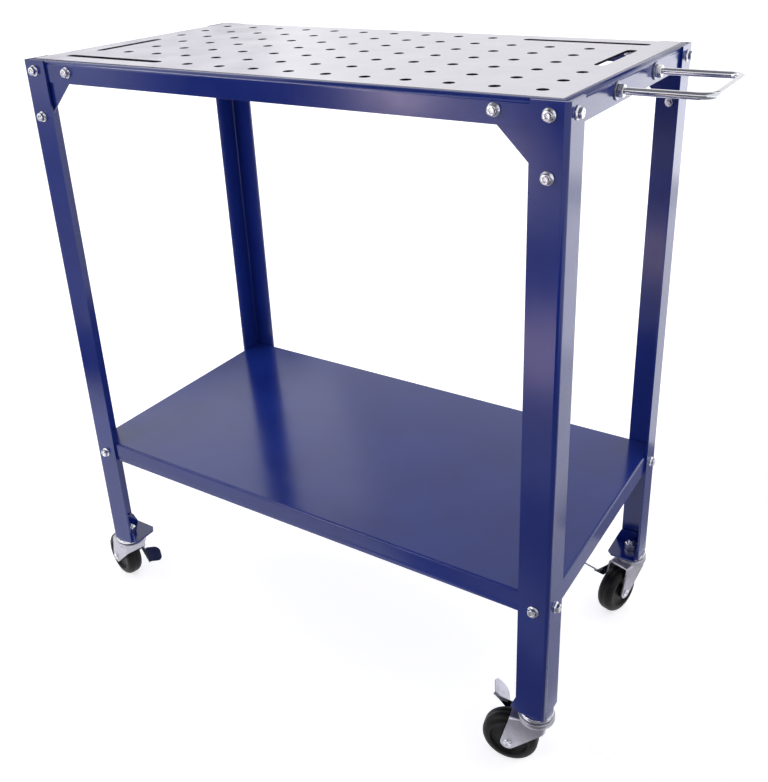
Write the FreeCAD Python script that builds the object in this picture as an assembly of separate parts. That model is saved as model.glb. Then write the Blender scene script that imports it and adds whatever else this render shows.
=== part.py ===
import FreeCAD, Part
import math
import os
from FreeCAD import Vector as V

# Rolling assembly table in millimetres, +Z up.
# The origin is the middle of the work surface. X runs along the length with
# the handle at +X, and the front is at -Y.

# ---- overall --------------------------------------------------------------
TABLE_L = 750.0             # over the legs, along X
TABLE_W = 390.0             # over the legs, along Y
TABLE_H = 845.0             # floor to work surface
RUN_GAP = 0.3               # between flat faces that move past each other
PIN_CLEARANCE = 0.08        # radial, for shafts that turn
DRILL_REACH = 30.0          # a drilled hole's length each side of its point
CUT_OVER = 1.0              # how far a cutter passes the face that it opens

# ---- legs: rolled angle ---------------------------------------------------
LEG_T = 3.0
LEG_FLANGE = 39.0
LEG_BEND = 5.0              # outer radius of the angle
LEG_TOP_DROP = 1.0          # leg end below the work surface
CASTER_H = 90.0             # floor to the leg's lower end

# ---- work surface: loose perforated sheet ----------------------------------
SHEET_T = 3.0
SHEET_CORNER = 1.5
SHEET_GAP = 0.3             # to the rails' crest
HOLE_D = 13.0               # round holes, and the width of the slots
PITCH = 50.8
HOLE_MARGIN = 28.0          # least distance from a hole's centre to the edge
SLOT_X_STEPS = 3            # hole pitches that a slot along X spans
SLOT_Y_STEPS = 2            # hole pitches that a slot along Y spans

# ---- rails: folded apron with a rounded shoulder ----------------------------
RAIL_H = 28.0
RAIL_T = 2.0
SHOULDER_R = 6.0
CREST_W = 1.0
CREST_DROP = 0.2
RAIL_FLANGE = 24.0          # reach under the sheet from the outer face
RAIL_BEND = 1.0             # inner radius under the flange
CORNER_EASE = 1.0           # rail and shelf corners stay this clear of the leg's bend

# ---- shelf: folded pan ------------------------------------------------------
SHELF_DROP = 570.0          # shelf surface below the work surface
SHELF_RIM = 29.0
SHELF_T = 2.0
SHELF_BEND = 2.9

# ---- gussets ------------------------------------------------------------------
GUSSET_T = 2.0
GUSSET_REACH = 86.0         # inner end from the side rail's outer face
GUSSET_DROP = 86.0          # lower end below the work surface
GUSSET_LIP = 6.0            # height of the inner end
GUSSET_FOOT = 11.5          # width of the lower end
GUSSET_GAP = 0.5            # to the side rail
GUSSET_TOP_GAP = 2.2        # to the rail's flange
SPACER_D = 13.0

# ---- M6 flange bolts and nuts ---------------------------------------------------
BOLT_D = 6.0
BOLT_HOLE_PLAY = 0.4
HEX_AF = 10.0
HEX_EDGE = 0.6              # chamfer on a hexagon's outer end
HEAD_FLANGE_D, HEAD_FLANGE_T, HEAD_H = 14.2, 1.5, 6.0
NUT_FLANGE_D, NUT_FLANGE_T, NUT_H = 13.2, 1.3, 5.5
BOLT_STICKOUT = 2.5
BOLT_IN = 19.5              # bolt line from the leg's outer face
TOP_BOLT_DROP = 14.0        # upper bolt row below the work surface
SHELF_BOLT_DROP = 19.0      # below the shelf surface
GUSSET_END_IN = 12.0        # rail bolt from the gusset's inner end
GUSSET_LOW_IN = 13.0        # leg bolt from the gusset's lower end

# ---- handle: bent rod, threaded at both ends ---------------------------------------
HANDLE_D = 8.0
HANDLE_SPAN = 124.0
HANDLE_REACH = 96.0         # crossbar's centre line from the rail's outer face
HANDLE_BEND = 14.0
HANDLE_DROP = 14.0          # below the work surface
HANDLE_PLAY = 0.4
OUTER_WASHER_D = 20.0
INNER_WASHER_D = 15.5
WASHER_T = 1.6
HANDLE_NUT_AF, HANDLE_NUT_H = 13.0, 6.5
HANDLE_STICKOUT = 5.0

# ---- foot brackets and caster stems --------------------------------------------------
BRACKET_SIDE = 44.0
BRACKET_BASE_T = 3.0
BRACKET_WALL_T = 2.5
BRACKET_H = 24.0
BRACKET_CLIP = 7.0          # clipped inner corner
BRACKET_SLOPE = 8.5         # how much narrower a wall is at its top
BRACKET_ROUND = 6.0         # rounding of a wall's top end
ROUND_STEPS = 4
BRACKET_EASE = 0.5          # clear of the leg's inner bend
STEM_IN = 18.0              # stem from the leg's outer faces
STEM_D = 10.0
STEM_PLAY = 0.6
STEM_NUT_AF, STEM_NUT_H = 17.0, 10.0
STEM_STICKOUT = 4.0
STEM_HEAD_D, STEM_HEAD_T = 17.0, 4.0

# ---- casters ----------------------------------------------------------------------------
WHEEL_D = 72.0
WHEEL_W = 25.0
TREAD_R = 9.0               # rounding of the tread's shoulders
RIM_R = 12.0                # depth of the rim from the tread inward
RIM_EDGE = 1.4
WEB_W = 17.0                # wheel's disc between hub and rim
HUB_D = 19.0
TRAIL = 32.4                # axle behind the stem
RACE_D, RACE_H, RACE_EDGE = 43.0, 6.5, 2.5
CUP_D, CUP_H, CUP_EDGE = 46.0, 4.2, 1.4
CAGE_IN_D, CAGE_OUT_D, CAGE_H = 28.0, 34.0, 4.0
FORK_W = 34.0               # over the fork's arms
FORK_T = 2.5
FORK_BEND = 4.0             # outer radius of the pressed fork's folds
FORK_TAIL = 31.0            # plate's trailing edge behind the stem
FORK_NOSE = 14.0            # leading edge ahead of the stem
FORK_NOSE_H = 13.0
ARM_TIP_R = 9.5             # rounding of the arm about the axle
AXLE_D = 8.0
AXLE_HEAD_D, AXLE_HEAD_T, AXLE_HEAD_EDGE = 11.0, 2.2, 1.6
SLEEVE_D = 12.0             # spacer sleeve that the wheel turns on

# ---- brake lever, on one side of each fork -------------------------------------------------
PIVOT_BACK = 20.0           # pivot behind the stem
PIVOT_DROP = 18.5           # below the underside of the fork's plate
PIVOT_D = 6.0
PIVOT_HEAD_D, PIVOT_HEAD_T = 10.0, 2.0
LEVER_T = 2.0
LEVER_GAP = 1.3             # lever clear of the axle's head
LEVER_BOSS_R = 7.0
TAB_BACK = 30.0             # reference point of the foot tab behind the pivot
TAB_RISE = 9.0              # and above it
TAB_TILT = 42.0             # degrees
TAB_LOW, TAB_HIGH = 14.0, 12.0  # ends of the tab's fold, along the slope from that point
TAB_LEAN = 8.0              # how far the tab's outer end leans up the slope
TAB_W = 22.0                # reach of the tab beyond the lever's arm
TAB_CORNER = 9.0
LEVER_LOW, LEVER_HIGH = -145.0, 10.0    # ends of the lever's travel, degrees from pointing back

# corner: (side along X, side along Y, direction of the trail, turn of the brake lever)
CORNERS = {
    "FL": (-1, -1, 165.0, LEVER_LOW),
    "FR": (1, -1, 191.0, 0.0),
    "RL": (-1, 1, 203.0, 0.0),
    "RR": (1, 1, 254.0, 0.0),
}

# ---- places that follow from the sizes above ----------------------------------------------------
X, Y, Z = V(1, 0, 0), V(0, 1, 0), V(0, 0, 1)
LEG_X, LEG_Y = TABLE_L / 2, TABLE_W / 2             # outer faces of the legs
RAIL_X, RAIL_Y = LEG_X - LEG_T, LEG_Y - LEG_T       # outer faces of rails and shelf
BOLT_X, BOLT_Y = LEG_X - BOLT_IN, LEG_Y - BOLT_IN
LEG_FOOT_Z = CASTER_H - TABLE_H
CORNER_R = LEG_BEND - LEG_T + CORNER_EASE
SHEET_EDGE = SHOULDER_R + CREST_W + SHEET_GAP       # sheet's edge from the rail's outer face
SHELF_BOLT_Z = -SHELF_DROP - SHELF_BOLT_DROP
GUSSET_BOLT_X = RAIL_X - GUSSET_REACH + GUSSET_END_IN
GUSSET_BOLT_Z = GUSSET_LOW_IN - GUSSET_DROP
BOLT_HOLE_D = BOLT_D + BOLT_HOLE_PLAY
STEM_X, STEM_Y = LEG_X - STEM_IN, LEG_Y - STEM_IN
RACE_Z = LEG_FOOT_Z - RACE_H                        # underside of the upper race
CUP_Z = RACE_Z - RUN_GAP                            # top of the fork's cup
PLATE_Z = CUP_Z - CUP_H                             # top of the fork's plate
PLATE_LOW_Z = PLATE_Z - FORK_T
AXLE_Z = WHEEL_D / 2 - TABLE_H
ARM_Y = FORK_W / 2                                  # outer face of a fork arm
ARM_IN_Y = ARM_Y - FORK_T
PIVOT_Z = PLATE_LOW_Z - PIVOT_DROP
LEVER_Y = ARM_Y + AXLE_HEAD_T + LEVER_GAP           # inner face of the brake lever


# ---- builders ---------------------------------------------------------------------
def box(x0, x1, y0, y1, z0, z1):
    return Part.makeBox(x1 - x0, y1 - y0, z1 - z0, V(x0, y0, z0))


def cyl(diameter, p, axis, length):
    return Part.makeCylinder(diameter / 2, length, p, axis)


def prism(points, extrude):
    """Solid from a closed flat outline."""
    return Part.Face(Part.makePolygon(points + points[:1])).extrude(extrude)


def arc(centre, start, end):
    """Shorter circular arc from start to end about centre."""
    mid = (start - centre) + (end - centre)
    mid.Length = (start - centre).Length
    return Part.Arc(start, centre + mid, end).toShape()


def face(*runs):
    """Face bounded by runs of points and arcs, joined in order by straight edges."""
    edges, last, first = [], None, None
    for run in runs:
        if isinstance(run, V):
            start, end = run, run
        else:
            start, end = run.firstVertex(True).Point, run.lastVertex(True).Point
        if last is not None and (start - last).Length > 1e-6:
            edges.append(Part.makeLine(last, start))
        if not isinstance(run, V):
            edges.append(run)
        first = first or start
        last = end
    edges.append(Part.makeLine(last, first))
    return Part.Face(Part.Wire(edges))


def fuse(*shapes):
    out = shapes[0]
    for s in shapes[1:]:
        out = out.fuse(s)
    return out.removeSplitter()


def hexagon(across, p, axis, height):
    """Hexagonal prism with its outer end chamfered all round."""
    r = across / math.sqrt(3)
    corners = [V(r * math.cos(math.radians(a)), r * math.sin(math.radians(a)), 0) for a in range(0, 360, 60)]
    cone = Part.makeCone(r + height - HEX_EDGE, r - HEX_EDGE, height)
    out = prism(corners, Z * height).common(cone)
    out.Placement = FreeCAD.Placement(p, FreeCAD.Rotation(Z, axis))
    return out


def flanged_hexagon(across, flange_d, flange_t, p, axis, height):
    overlap = flange_t / 3
    return fuse(cyl(flange_d, p, axis, flange_t),
                hexagon(across, p + axis * (flange_t - overlap), axis, height - flange_t + overlap))


def bolt(p, axis, grip):
    """Flange bolt with its head's bearing face at p and its shank along axis."""
    head = flanged_hexagon(HEX_AF, HEAD_FLANGE_D, HEAD_FLANGE_T, p, -axis, HEAD_H)
    return fuse(head, cyl(BOLT_D, p - axis, axis, 1 + grip + NUT_H + BOLT_STICKOUT))


def nut(p, axis):
    """Flange nut with its bearing face at p, standing along axis."""
    body = flanged_hexagon(HEX_AF, NUT_FLANGE_D, NUT_FLANGE_T, p, axis, NUT_H)
    return drill(body, p, axis, BOLT_D)


def drill(shape, p, axis, diameter, reach=DRILL_REACH):
    return shape.cut(cyl(diameter, p - axis * reach, axis, 2 * reach))


def rounded_block(half_x, half_y, z0, z1, r):
    b = box(-half_x, half_x, -half_y, half_y, z0, z1)
    upright = [e for e in b.Edges if abs(e.tangentAt(e.FirstParameter).z) > 0.9]
    return b.makeFillet(r, upright)


def ring_edges(shape, axis, level):
    """Edges that lie flat at a level along the axis named by its letter."""
    def flat(bounds):
        return max(abs(getattr(bounds, axis + end) - level) for end in ("Min", "Max")) < 1e-3

    return [e for e in shape.Edges if flat(e.BoundBox)]


SIDES = [(sx, sy) for sx in (-1, 1) for sy in (-1, 1)]


# ---- work surface -----------------------------------------------------------------
def table_top():
    half_x, half_y = RAIL_X - SHEET_EDGE, RAIL_Y - SHEET_EDGE
    columns = 1 + int(2 * (half_x - HOLE_MARGIN) / PITCH)
    rows = 1 + int(2 * (half_y - HOLE_MARGIN) / PITCH)
    x0, y0 = -PITCH * (columns - 1) / 2, -PITCH * (rows - 1) / 2
    depth = 2 * SHEET_T

    def hole(column, row):
        return cyl(HOLE_D, V(x0 + column * PITCH, y0 + row * PITCH, -SHEET_T * 1.5), Z, depth)

    def slot(column, row, step_x, step_y):
        """Slot from one hole place to another, the same at both ends of the table."""
        ends = [hole(column, row), hole(column + step_x, row + step_y)]
        a = V(x0 + column * PITCH, y0 + row * PITCH, -SHEET_T * 1.5)
        across = V(HOLE_D / 2, 0, 0) if step_y else V(0, HOLE_D / 2, 0)
        b = a + V(step_x * PITCH, step_y * PITCH, 0)
        return fuse(*ends, prism([a - across, b - across, b + across, a + across], Z * depth))

    run_x, run_y = SLOT_X_STEPS, SLOT_Y_STEPS
    taken = {(c, 0) for c in range(run_x + 1)} | {(0, r + 1) for r in range(run_y + 1)}
    taken |= {(columns - 1 - c, rows - 1 - r) for c, r in taken}
    cutters = [slot(0, 0, run_x, 0), slot(0, 1, 0, run_y),
               slot(columns - 1, rows - 1, -run_x, 0), slot(columns - 1, rows - 2, 0, -run_y)]
    cutters += [hole(c, r) for c in range(columns) for r in range(rows) if (c, r) not in taken]
    sheet = rounded_block(half_x, half_y, -SHEET_T, 0, SHEET_CORNER)
    return sheet.cut(Part.makeCompound(cutters))


# ---- rails ------------------------------------------------------------------------
def rail_section(at):
    """Section of a rail; at(inward, z) gives the point."""
    crest, shoulder = -CREST_DROP, -CREST_DROP - SHOULDER_R
    under, bend = -SHEET_T - RAIL_T, -SHEET_T - RAIL_T - RAIL_BEND
    inner = SHOULDER_R + CREST_W
    return face(
        at(0, -RAIL_H),
        arc(at(SHOULDER_R, shoulder), at(0, shoulder), at(SHOULDER_R, crest)),
        at(inner, crest), at(inner, -SHEET_T), at(RAIL_FLANGE, -SHEET_T), at(RAIL_FLANGE, under),
        arc(at(RAIL_T + RAIL_BEND, bend), at(RAIL_T + RAIL_BEND, under), at(RAIL_T, bend)),
        at(RAIL_T, -RAIL_H))


def mitred(body, outer_a, outer_b, inward):
    """Trim a rail to a trapezium between its outer corners, and round those corners."""
    m = 2 * RAIL_FLANGE
    along = outer_b - outer_a
    along.Length = m
    low = V(0, 0, -2 * RAIL_H)
    outline = [outer_a, outer_b, outer_b - along + inward * m, outer_a + along + inward * m]
    body = body.common(prism([p + low for p in outline], Z * 3 * RAIL_H))
    return body.common(rounded_block(RAIL_X, RAIL_Y, -2 * RAIL_H, RAIL_H, CORNER_R))


def rail_along_x(sy):
    body = rail_section(lambda n, z: V(-RAIL_X, sy * (RAIL_Y - n), z)).extrude(X * 2 * RAIL_X)
    body = mitred(body, V(-RAIL_X, sy * RAIL_Y, 0), V(RAIL_X, sy * RAIL_Y, 0), Y * -sy)
    for sx in (-1, 1):
        for x in (BOLT_X, GUSSET_BOLT_X):
            body = drill(body, V(sx * x, sy * RAIL_Y, -TOP_BOLT_DROP), Y, BOLT_HOLE_D)
    return body


def rail_along_y(sx):
    body = rail_section(lambda n, z: V(sx * (RAIL_X - n), -RAIL_Y, z)).extrude(Y * 2 * RAIL_Y)
    body = mitred(body, V(sx * RAIL_X, -RAIL_Y, 0), V(sx * RAIL_X, RAIL_Y, 0), X * -sx)
    for sy in (-1, 1):
        body = drill(body, V(sx * RAIL_X, sy * BOLT_Y, -TOP_BOLT_DROP), X, BOLT_HOLE_D)
        if sx > 0:
            body = drill(body, V(RAIL_X, sy * HANDLE_SPAN / 2, -HANDLE_DROP), X, HANDLE_D + HANDLE_PLAY)
    return body


# ---- legs, gussets, brackets and shelf ------------------------------------------------
def leg(sx, sy):
    def at(a, b):
        return V(sx * (LEG_X - a), sy * (LEG_Y - b), LEG_FOOT_Z)

    w, t, bend = LEG_FLANGE, LEG_T, LEG_BEND
    section = face(
        at(w, 0), at(w, t), arc(at(bend, bend), at(bend, t), at(t, bend)),
        at(t, w), at(0, w), arc(at(bend, bend), at(0, bend), at(bend, 0)))
    body = section.extrude(Z * (-LEG_TOP_DROP - LEG_FOOT_Z))
    for z in (-TOP_BOLT_DROP, GUSSET_BOLT_Z, SHELF_BOLT_Z):
        body = drill(body, V(sx * BOLT_X, sy * LEG_Y, z), Y, BOLT_HOLE_D)
    for z in (-TOP_BOLT_DROP, SHELF_BOLT_Z):
        body = drill(body, V(sx * LEG_X, sy * BOLT_Y, z), X, BOLT_HOLE_D)
    return body


def gusset(sx, sy):
    y = sy * (RAIL_Y - RAIL_T)
    outer, inner = RAIL_X - RAIL_T - GUSSET_GAP, RAIL_X - GUSSET_REACH
    top = -SHEET_T - RAIL_T - RAIL_BEND - GUSSET_TOP_GAP
    outline = [(outer, top), (inner, top), (inner, top - GUSSET_LIP),
               (outer - GUSSET_FOOT, -GUSSET_DROP), (outer, -GUSSET_DROP)]
    plate = prism([V(sx * x, y, z) for x, z in outline], Y * (-sy * GUSSET_T))
    for x, z in ((BOLT_X, -TOP_BOLT_DROP), (GUSSET_BOLT_X, -TOP_BOLT_DROP), (BOLT_X, GUSSET_BOLT_Z)):
        plate = drill(plate, V(sx * x, y, z), Y, BOLT_HOLE_D)
    return plate


def spacer(sx, sy):
    """Washer that fills the rail's thickness between leg and gusset."""
    p = V(sx * BOLT_X, sy * RAIL_Y, GUSSET_BOLT_Z)
    return drill(cyl(SPACER_D, p, Y * -sy, RAIL_T), p, Y, BOLT_HOLE_D)


def foot_bracket(sx, sy):
    """Base plate with two tapered upturned walls, in the leg's inner corner."""
    def at(a, b, z):
        return V(sx * (RAIL_X - a), sy * (RAIL_Y - b), LEG_FOOT_Z + z)

    near, t = LEG_BEND - LEG_T + BRACKET_EASE, BRACKET_WALL_T
    side, clip = BRACKET_SIDE, BRACKET_SIDE - BRACKET_CLIP
    base = prism([at(near, 0, 0), at(side, 0, 0), at(side, clip, 0), at(clip, side, 0), at(0, side, 0),
                  at(0, near, 0)], Z * BRACKET_BASE_T)
    corner = prism([at(near, 0, 0), at(near + t, 0, 0), at(near + t, t, 0), at(t, near + t, 0),
                    at(0, near + t, 0), at(0, near, 0)], Z * BRACKET_H)
    # tapered end of a wall, rounded at its top
    slope = V(BRACKET_SLOPE, 0, BRACKET_BASE_T - BRACKET_H)
    slope.Length = BRACKET_ROUND
    top_end = V(side - BRACKET_SLOPE, 0, BRACKET_H)
    rounding = Part.BezierCurve()
    rounding.setPoles([top_end + slope, top_end, top_end - X * BRACKET_ROUND])
    tip = [rounding.value(k / ROUND_STEPS) for k in range(ROUND_STEPS + 1)]
    wall = [(near, 0), (side, 0), (side, BRACKET_BASE_T)] + [(p.x, p.z) for p in tip] + [(near, BRACKET_H)]
    wall_x = prism([at(a, 0, z) for a, z in wall], Y * (-sy * t))
    wall_y = prism([at(0, a, z) for a, z in wall], X * (-sx * t))
    body = fuse(base, corner, wall_x, wall_y)
    return drill(body, V(sx * STEM_X, sy * STEM_Y, LEG_FOOT_Z), Z, STEM_D + STEM_PLAY)


def shelf():
    low = -SHELF_DROP - SHELF_RIM
    pan = rounded_block(RAIL_X, RAIL_Y, low, -SHELF_DROP, CORNER_R)
    pan = pan.makeFillet(SHELF_BEND, ring_edges(pan, "Z", -SHELF_DROP))
    hollow = rounded_block(RAIL_X - SHELF_T, RAIL_Y - SHELF_T, low - SHELF_RIM, -SHELF_DROP - SHELF_T,
                           CORNER_R - SHELF_T)
    pan = pan.cut(hollow)
    for sx, sy in SIDES:
        pan = drill(pan, V(sx * BOLT_X, sy * RAIL_Y, SHELF_BOLT_Z), Y, BOLT_HOLE_D)
        pan = drill(pan, V(sx * RAIL_X, sy * BOLT_Y, SHELF_BOLT_Z), X, BOLT_HOLE_D)
    return pan


# ---- fasteners ------------------------------------------------------------------------
def joint_list(leg_z, stack_x, rail_bolts):
    """(head face, axis, grip) of each bolt through a corner's two leg flanges."""
    out = []
    for sx, sy in SIDES:
        for z in leg_z:
            out.append((V(sx * BOLT_X, sy * LEG_Y, z), Y * -sy, LEG_T + stack_x))
        if rail_bolts:
            out.append((V(sx * GUSSET_BOLT_X, sy * RAIL_Y, -TOP_BOLT_DROP), Y * -sy, stack_x))
    return out


def side_list(z, stack):
    return [(V(sx * LEG_X, sy * BOLT_Y, z), X * -sx, LEG_T + stack) for sx, sy in SIDES]


FRAME_JOINTS = (joint_list((-TOP_BOLT_DROP, GUSSET_BOLT_Z), RAIL_T + GUSSET_T, True)
                + side_list(-TOP_BOLT_DROP, RAIL_T))
SHELF_JOINTS = joint_list((SHELF_BOLT_Z,), SHELF_T, False) + side_list(SHELF_BOLT_Z, SHELF_T)


def bolts(joints):
    return Part.makeCompound([bolt(p, axis, grip) for p, axis, grip in joints])


def nuts(joints):
    return Part.makeCompound([nut(p + axis * grip, axis) for p, axis, grip in joints])


# ---- handle -----------------------------------------------------------------------------
def handle():
    half, bend, z = HANDLE_SPAN / 2, HANDLE_BEND, -HANDLE_DROP
    end = RAIL_X - RAIL_T - WASHER_T - HANDLE_NUT_H - HANDLE_STICKOUT
    bar = RAIL_X + HANDLE_REACH

    def bend_at(sy, start, finish):
        return arc(V(bar - bend, sy * (half - bend), z), start, finish)

    near_start, near_end = V(bar - bend, -half, z), V(bar, bend - half, z)
    far_start, far_end = V(bar, half - bend, z), V(bar - bend, half, z)
    path = Part.Wire([
        Part.makeLine(V(end, -half, z), near_start), bend_at(-1, near_start, near_end),
        Part.makeLine(near_end, far_start), bend_at(1, far_start, far_end),
        Part.makeLine(far_end, V(end, half, z))])
    section = Part.Wire([Part.makeCircle(HANDLE_D / 2, V(end, -half, z), X)])
    return path.makePipeShell([section], True, False)


def handle_places():
    """(face of the rail, outward axis, washer size) at both ends of the handle."""
    for sy in (-1, 1):
        yield V(RAIL_X, sy * HANDLE_SPAN / 2, -HANDLE_DROP), X, OUTER_WASHER_D
        yield V(RAIL_X - RAIL_T, sy * HANDLE_SPAN / 2, -HANDLE_DROP), -X, INNER_WASHER_D


def handle_washers():
    return Part.makeCompound([drill(cyl(d, p, axis, WASHER_T), p, axis, HANDLE_D + HANDLE_PLAY)
                              for p, axis, d in handle_places()])


def handle_nuts():
    return Part.makeCompound([drill(hexagon(HANDLE_NUT_AF, p + axis * WASHER_T, axis, HANDLE_NUT_H),
                                    p, axis, HANDLE_D) for p, axis, _ in handle_places()])


# ---- casters, each built about a stem at the origin with its trail along +X ----------------
def place(shape, sx, sy, turn=0.0):
    s = shape.copy()
    s.rotate(V(0, 0, 0), Z, turn)
    s.translate(V(sx * STEM_X, sy * STEM_Y, 0))
    return s


def stem():
    """Threaded stem, riveted over below the fork's plate."""
    low = PLATE_LOW_Z - RUN_GAP - STEM_HEAD_T
    top = LEG_FOOT_Z + BRACKET_BASE_T + STEM_NUT_H + STEM_STICKOUT
    return fuse(cyl(STEM_HEAD_D, V(0, 0, low), Z, STEM_HEAD_T), cyl(STEM_D, V(0, 0, low), Z, top - low))


def stem_nut():
    p = V(0, 0, LEG_FOOT_Z + BRACKET_BASE_T)
    return drill(hexagon(STEM_NUT_AF, p, Z, STEM_NUT_H), p, Z, STEM_D)


def groove(z0, z1, clearance):
    """Ring-shaped cutter round the ball cage."""
    ring = cyl(CAGE_OUT_D + 2 * clearance, V(0, 0, z0), Z, z1 - z0)
    return ring.cut(cyl(CAGE_IN_D - 2 * clearance, V(0, 0, z0), Z, z1 - z0))


def upper_race():
    cup = cyl(RACE_D, V(0, 0, RACE_Z), Z, RACE_H)
    cup = cup.makeFillet(RACE_EDGE, ring_edges(cup, "Z", RACE_Z))
    cup = cup.cut(groove(RACE_Z - CUT_OVER, RACE_Z + CAGE_H / 2, 0))
    return drill(cup, V(0, 0, RACE_Z), Z, STEM_D)


def ball_cage():
    """Bearing ring between the races, seated in the upper one."""
    return groove(RACE_Z - CAGE_H / 2, RACE_Z + CAGE_H / 2, 0)


def folded_block(x0, half_y, z_top, bend):
    """Block as wide as the fork, rounded along its top, its front and its front corners."""
    block = box(x0, 2 * TRAIL, -half_y, half_y, -TABLE_H, z_top)
    low, rear = -TABLE_H + bend, 2 * TRAIL - bend
    folds = [edge for edge in block.Edges if edge.CenterOfMass.z > low and edge.CenterOfMass.x < rear]
    return block.makeFillet(bend, folds)


def fork():
    """Pressed fork: cup and plate under the race, a nose, and two arms down to the axle."""
    cup = cyl(CUP_D, V(0, 0, PLATE_LOW_Z), Z, FORK_T + CUP_H)
    cup = cup.makeFillet(CUP_EDGE, ring_edges(cup, "Z", CUP_Z))
    cup = cup.cut(groove(RACE_Z - CAGE_H / 2 - RUN_GAP, CUP_Z + CUT_OVER, RUN_GAP))
    # seen from the side, the long edges run from the plate and the nose to touch the arm's round tip
    nose_z = PLATE_Z - FORK_NOSE_H
    tip = V(TRAIL, 0, AXLE_Z)
    rear = tangent_point(V(FORK_TAIL, 0, PLATE_Z), tip, ARM_TIP_R, 1)
    front = tangent_point(V(-FORK_NOSE, 0, nose_z), tip, ARM_TIP_R, -1)
    top_front, top_rear = V(-FORK_NOSE, 0, PLATE_Z), V(FORK_TAIL, 0, PLATE_Z)
    outline = [V(-FORK_NOSE, 0, nose_z), top_front, top_rear, rear, tip, front]
    start = Y * -ARM_Y
    side_view = fuse(prism([p + start for p in outline], Y * FORK_W),
                     cyl(2 * ARM_TIP_R, tip + start, Y, FORK_W))
    sheet = side_view.common(folded_block(-FORK_NOSE, ARM_Y, PLATE_Z, FORK_BEND))
    sheet = sheet.cut(folded_block(FORK_T - FORK_NOSE, ARM_IN_Y, PLATE_LOW_Z, FORK_BEND - FORK_T))
    body = fuse(cup, sheet)
    body = drill(body, V(0, 0, PLATE_Z), Z, STEM_D + 2 * PIN_CLEARANCE, CUP_H + FORK_T)
    body = drill(body, tip, Y, AXLE_D)
    return body.cut(cyl(PIVOT_D, V(PIVOT_BACK, -2 * ARM_Y, PIVOT_Z), Y, 2 * ARM_Y))


def tangent_point(p, centre, r, side):
    """Where the line from p touches a circle in the XZ plane."""
    d = centre - p
    angle = math.atan2(d.z, d.x) + side * math.asin(r / d.Length)
    reach = math.sqrt(d.Length ** 2 - r ** 2)
    return p + V(reach * math.cos(angle), 0, reach * math.sin(angle))


def axle():
    """Rivet through the fork, the sleeve and the wheel."""
    shapes = [cyl(AXLE_D, V(TRAIL, -ARM_Y, AXLE_Z), Y, FORK_W)]
    for side in (-1, 1):
        head = cyl(AXLE_HEAD_D, V(TRAIL, side * ARM_Y, AXLE_Z), Y * side, AXLE_HEAD_T)
        rim = ring_edges(head, "Y", side * (ARM_Y + AXLE_HEAD_T))
        shapes.append(head.makeFillet(AXLE_HEAD_EDGE, rim))
    return fuse(*shapes)


def axle_sleeve():
    p = V(TRAIL, -ARM_IN_Y, AXLE_Z)
    return drill(cyl(SLEEVE_D, p, Y, 2 * ARM_IN_Y), p, Y, AXLE_D)


def wheel():
    """Revolved wheel with a hub, a sunk disc and a rounded tread."""
    def at(r, y):
        return V(TRAIL, y, AXLE_Z + r)

    R, half, hub, web = WHEEL_D / 2, WHEEL_W / 2, ARM_IN_Y - RUN_GAP, WEB_W / 2
    bore, inner = SLEEVE_D / 2 + PIN_CLEARANCE, R - RIM_R
    crown, side = half - TREAD_R, R - TREAD_R

    def half_section(s):
        return [at(bore, s * hub), at(HUB_D / 2, s * hub), at(HUB_D / 2, s * web),
                at(inner - RIM_EDGE, s * web), at(inner, s * (half - RIM_EDGE)),
                at(inner + RIM_EDGE, s * half)]

    section = face(*half_section(1), arc(at(side, crown), at(side, half), at(R, crown)),
                   arc(at(side, -crown), at(R, -crown), at(side, -half)), *reversed(half_section(-1)))
    return section.revolve(V(TRAIL, 0, AXLE_Z), Y, 360)


def brake_pin():
    """Shoulder pin from the fork's arm through the brake lever."""
    def step(diameter, y0, y1):
        return cyl(diameter, V(PIVOT_BACK, -y0, PIVOT_Z), -Y, y1 - y0)

    head = LEVER_Y + LEVER_T + RUN_GAP
    return fuse(step(PIVOT_D, ARM_IN_Y, head + PIVOT_HEAD_T / 2),
                step(PIVOT_HEAD_D, ARM_Y, LEVER_Y - RUN_GAP),
                step(PIVOT_HEAD_D, head, head + PIVOT_HEAD_T))


def brake_lever(turn):
    """Flat arm beside the fork, ending in a foot tab that is bent outward."""
    tilt = math.radians(TAB_TILT)
    slope = V(math.cos(tilt), 0, math.sin(tilt))
    fold = V(PIVOT_BACK + TAB_BACK, 0, PIVOT_Z + TAB_RISE)
    high, low = fold + slope * TAB_HIGH, fold - slope * TAB_LOW
    outer = V(0, -LEVER_Y - LEVER_T, 0)
    pivot = V(PIVOT_BACK, 0, PIVOT_Z)
    touch_high = tangent_point(high, pivot, LEVER_BOSS_R, -1)
    touch_low = tangent_point(low, pivot, LEVER_BOSS_R, 1)
    arm = fuse(prism([p + outer for p in (touch_high, high, low, touch_low, pivot)], Y * LEVER_T),
               cyl(2 * LEVER_BOSS_R, pivot + outer, Y, LEVER_T))
    outline = [V(-TAB_LOW, LEVER_T, 0), V(TAB_HIGH, LEVER_T, 0), V(TAB_HIGH, 0, 0),
               V(TAB_HIGH + TAB_LEAN, -TAB_W, 0), V(TAB_LEAN - TAB_LOW, -TAB_W, 0), V(-TAB_LOW, 0, 0)]
    tab = prism(outline, Z * -LEVER_T)
    corners = [e for e in tab.Edges if e.BoundBox.YMax < -TAB_W / 2 and e.BoundBox.ZLength > LEVER_T / 2]
    tab = tab.makeFillet(TAB_CORNER, corners)
    tab.rotate(V(0, 0, 0), Y, -TAB_TILT)
    tab.translate(fold + outer)
    body = drill(fuse(arm, tab), pivot + outer, Y, PIVOT_D + 2 * PIN_CLEARANCE, 2 * LEVER_T)
    body.rotate(pivot, Y, -turn)
    return body


# ---- all nodes --------------------------------------------------------------------------------
def each_corner(shape):
    return Part.makeCompound([place(shape, sx, sy) for sx, sy in SIDES])


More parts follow.
